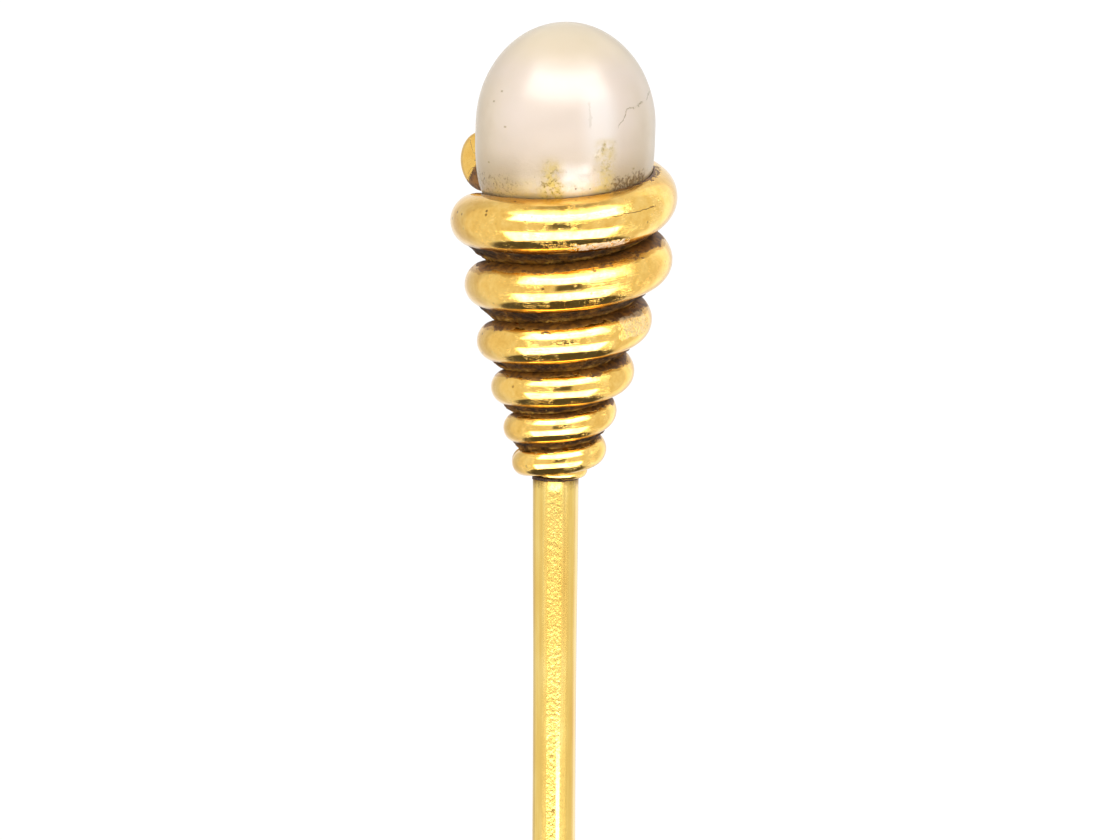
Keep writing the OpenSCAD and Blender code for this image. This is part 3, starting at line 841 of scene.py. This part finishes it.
# A thin ring between the stem's shoulder and the leaning foot, crumbled on its outer face. Round
# the section it goes up the outer face, in along the top, down inside and out along the bottom.
def buildSeam():
    e = seam
    angle = full * np.arange(e["sides"]) / e["sides"]
    foot = headLift - h["stemRadius"] * np.cos(angle) * math.sin(math.radians(h["lean"]))
    radius = np.array([e["outer"]] * e["rows"] + [e["inner"]] * 2)
    V, A = np.meshgrid([*np.linspace(0, 1, e["rows"]), 1, 0], angle, indexing="ij")
    R = np.broadcast_to(radius[:, None], A.shape)
    Z = (foot + e["under"] + e["over"]) * V - e["under"]
    crumbs = grain(np.stack([R * np.cos(A), R * np.sin(A), Z * 2], -1), 0.09, 3)
    R = R + np.where(R > e["inner"], e["spread"] * crumbs, 0)
    sections = np.stack([R * np.cos(A), R * np.sin(A), Z], -1).transpose(1, 0, 2)
    return joinedSkin("seam", sections)


def crumblyLook(name, p):
    m = material(name)
    grains = m.noise(m.place(), p["grains"], 4, 0.7)
    rough, fall = p["roughness"]
    return m.surface({"Base Color": m.ramp(grains, p["stops"]), "Roughness": rough - grains * fall,
                      "Normal": m.bump(grains, p["relief"])})


print("shaping the head")
finish(buildCoil(), coilLook(), "coil_wire", slot="coil_gold")
finish(buildGroove(), grooveLook(), "coil_solder", slot="groove_fill")
finish(buildPearl(), pearlLook(), "pearl", slot="pearl_nacre")
print("shaping the stem")
finish(buildStem(), stemLook(), "pin_stem", slot="stem_gold")
finish(buildSeam(), crumblyLook("seam_grime", seam), "stem_solder", slot="seam_solder")
innerGold = innerLook()
looks = {
    "coil_core": innerGold, "pearl_cup": innerGold, "pearl_peg": innerGold,
    "pearl_cement": crumblyLook("cement_ivory", cement),
}
for name, look in looks.items():
    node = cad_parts[name]
    node.data.materials.clear()
    node.data.materials.append(look)

studio = {
    "floorDrop": 0.4, "floorRadius": 270, "floorSides": 128, "floorGlow": (40, 255),
    "floorShade": [(0.3, (0.88, 0.88, 0.87)), (0.7, (0.90, 0.90, 0.90))],
    "rimGlow": (0.7, 0.7, 0.7), "backdrop": 1.05,
    "level": 1.0, "dark": 0.11, "darkBelow": (-46, -51), "overhead": -0.55, "overheadUp": (62, 84),
    # patches: degrees from the front and softness, then elevation and softness
    "boxes": 6.0, "upperPlace": (-60, 60, 7, 29, 50, 5), "lowerPlace": (-60, 60, 7, -46, -18, 5),
    "glow": 3.2, "glowSides": (-66, 66, 22), "glowUp": (44, 50, 84),
    "spot": 0.16, "spotPlace": (-11, 14, 5, -1, 19, 5),
    "right": 0.45, "rightPlace": (128, 146, 8, -35, 45, 12),
    "left": -0.2, "leftPlace": (-150, -126, 10, -30, 40, 14),
    "matt": (0.40, 0.50), "mattPlace": (-60, 60, 60, -20, 70, 40),
    "keyPlace": (-90, -260, 240), "keySize": 160, "keyPower": 0.3, "keyAim": (0, 0, 5),
}


# A disc that glows towards its rim, by eased distance, so that it melts into the white behind.
def buildFloor():
    t = studio
    z = cadBox[0].z - t["floorDrop"] * mm
    turn = full * np.arange(t["floorSides"]) / t["floorSides"]
    rim = np.stack([np.cos(turn), np.sin(turn), 0 * turn], -1) * t["floorRadius"] * mm + np.array([0, 0, z])
    mesh = bpy.data.meshes.new("floor")
    mesh.from_pydata(rim.tolist(), [], [list(range(len(turn)))])
    floor = bpy.data.objects.new("floor", mesh)
    bpy.context.collection.objects.link(floor)
    m = material("floor_white")
    here = m.place()
    x, y, _ = m.parts(here)
    distance = (x * x + y * y) ** 0.5
    colour = m.ramp(m.noise(here, 60, 2), t["floorShade"])
    glow = m.mix(distance.rise(*t["floorGlow"]), (0, 0, 0), t["rimGlow"])
    mesh.materials.append(m.surface({"Base Color": colour, "Roughness": 0.9, "Emission Color": glow,
                                     "Emission Strength": 1.0}))
    floor.visible_glossy = False


# The light tent, by direction: a middle level all round, two wide soft boxes in front above and
# below the camera with a glow over the upper one, a dark spot at the camera, dark below, dimmer
# overhead, and a strip behind at each side: a lighter one to the right and a darker one to the left.
# Mirror-like reflections see all of it, matt surfaces an even level, and the camera plain white.
def buildStudio():
    t = studio
    world = bpy.data.worlds.new("studio")
    bpy.context.scene.world = world
    m = Paint(world)
    x, y, z = m.parts(m.add("ShaderNodeTexCoord", output="Generated"))
    elevation = z.math("ARCSINE") * inDegrees
    azimuth = m.fromFront(x, y)
    boxes = patch(azimuth, elevation, t["upperPlace"]) + patch(azimuth, elevation, t["lowerPlace"])
    bottom, brightest, top = t["glowUp"]
    glow = elevation.rise(bottom, brightest) * elevation.rise(top, brightest) * azimuth.band(*t["glowSides"])
    level = elevation.rise(*t["darkBelow"]) * (t["dark"] - t["level"]) + t["level"]
    level = level + elevation.rise(*t["overheadUp"]) * t["overhead"]
    level = level + boxes * t["boxes"] + glow * t["glow"]
    level = level + patch(azimuth, elevation, t["rightPlace"]) * t["right"]
    level = level + patch(azimuth, elevation, t["leftPlace"]) * t["left"]
    level = level + patch(azimuth, elevation, t["spotPlace"]) * (t["spot"] - t["level"])
    low, more = t["matt"]
    matt = patch(azimuth, elevation, t["mattPlace"]) * more + low
    path = m.add("ShaderNodeLightPath")
    seen, glossy = path.out("Is Camera Ray"), path.out("Is Glossy Ray")
    strength = glossy * level + (1 - glossy) * matt
    strength = seen * t["backdrop"] + (1 - seen) * strength
    light = m.add("ShaderNodeBackground", {}, {"Color": (1, 1, 1, 1), "Strength": strength})
    m.add("ShaderNodeOutputWorld", {}, [light])


# A wide lamp above the camera and to its left, with no reflection of its own.
def buildKey():
    t = studio
    light = bpy.data.lights.new("key", "AREA")
    light.shape, light.size, light.energy = "SQUARE", t["keySize"] * mm, t["keyPower"]
    key = bpy.data.objects.new("key", light)
    key.location = Vector(t["keyPlace"]) * mm
    key.rotation_euler = (Vector(t["keyAim"]) * mm - key.location).to_track_quat("-Z", "Y").to_euler()
    key.visible_glossy = key.visible_camera = False
    bpy.context.collection.objects.link(key)


print("lighting")
buildFloor()
buildStudio()
buildKey()
